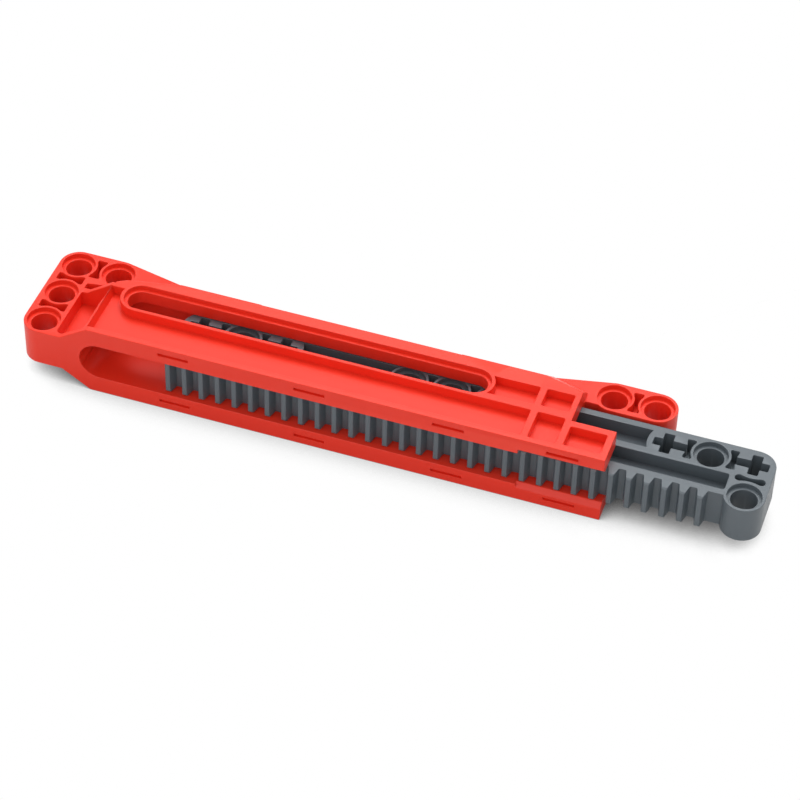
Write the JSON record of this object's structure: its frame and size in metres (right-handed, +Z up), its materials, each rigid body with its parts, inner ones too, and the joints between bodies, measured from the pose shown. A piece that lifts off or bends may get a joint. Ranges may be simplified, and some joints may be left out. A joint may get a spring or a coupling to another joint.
{
  "type": "sliding gear rack in a slotted housing",
  "caption": "Straight gear rack that slides lengthwise in a slotted plastic housing with pin-hole lugs, teeth along one open side, for a construction-toy linear actuator.",
  "frame": {"origin": "bottom centre of the bounding box with the rack at its rest position: on the plane the housing stands on, on the centre row of holes", "axes": "+X along the rack, the way it pulls out of the housing; +Y away from the toothed side, towards the side with the two-hole lug; +Z up, out of the broad face of the housing"},
  "size_m": [0.1392, 0.0234, 0.0148],
  "materials": {
    "housing_plastic": "smooth moulded ABS, bright red, light gloss",
    "rack_plastic": "smooth moulded ABS, dark bluish grey, light gloss"
  },
  "bodies": {
    "housing": {"housing": "housing_plastic"},
    "rack": {"rack": "rack_plastic"}
  },
  "joints": [
    {"name": "rack_slide", "type": "slide", "parent": "housing", "child": "rack", "axis": [1, 0, 0], "range_m": [-0.0125, 0.044]}
  ]
}
